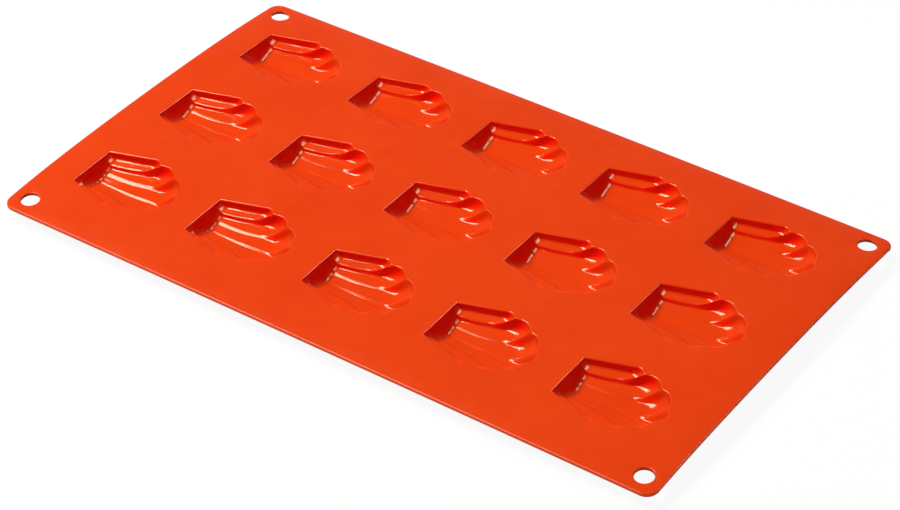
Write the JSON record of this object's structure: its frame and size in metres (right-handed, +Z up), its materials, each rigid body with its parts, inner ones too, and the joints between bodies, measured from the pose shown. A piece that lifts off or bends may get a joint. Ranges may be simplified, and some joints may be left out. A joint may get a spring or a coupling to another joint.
{
  "type": "silicone baking mould",
  "caption": "Thin flexible rectangular silicone sheet with rows of scallop-shell cups for baking small cakes, with a round hanging hole in each corner.",
  "frame": {"origin": "on the surface that the cups stand on, under the middle of the sheet", "axes": "+X along the long side, from the cups' square ends to their scalloped tips; +Y to the back; +Z up, out of the cups' mouths"},
  "size_m": [0.3, 0.175, 0.0085],
  "materials": {
    "silicone": "smooth glossy orange-red silicone"
  },
  "bodies": {
    "root": {"sheet": "silicone", "cup_front_1": "silicone", "cup_front_2": "silicone", "cup_front_3": "silicone", "cup_front_4": "silicone", "cup_front_5": "silicone", "cup_middle_1": "silicone", "cup_middle_2": "silicone", "cup_middle_3": "silicone", "cup_middle_4": "silicone", "cup_middle_5": "silicone", "cup_back_1": "silicone", "cup_back_2": "silicone", "cup_back_3": "silicone", "cup_back_4": "silicone", "cup_back_5": "silicone"}
  },
  "joints": []
}
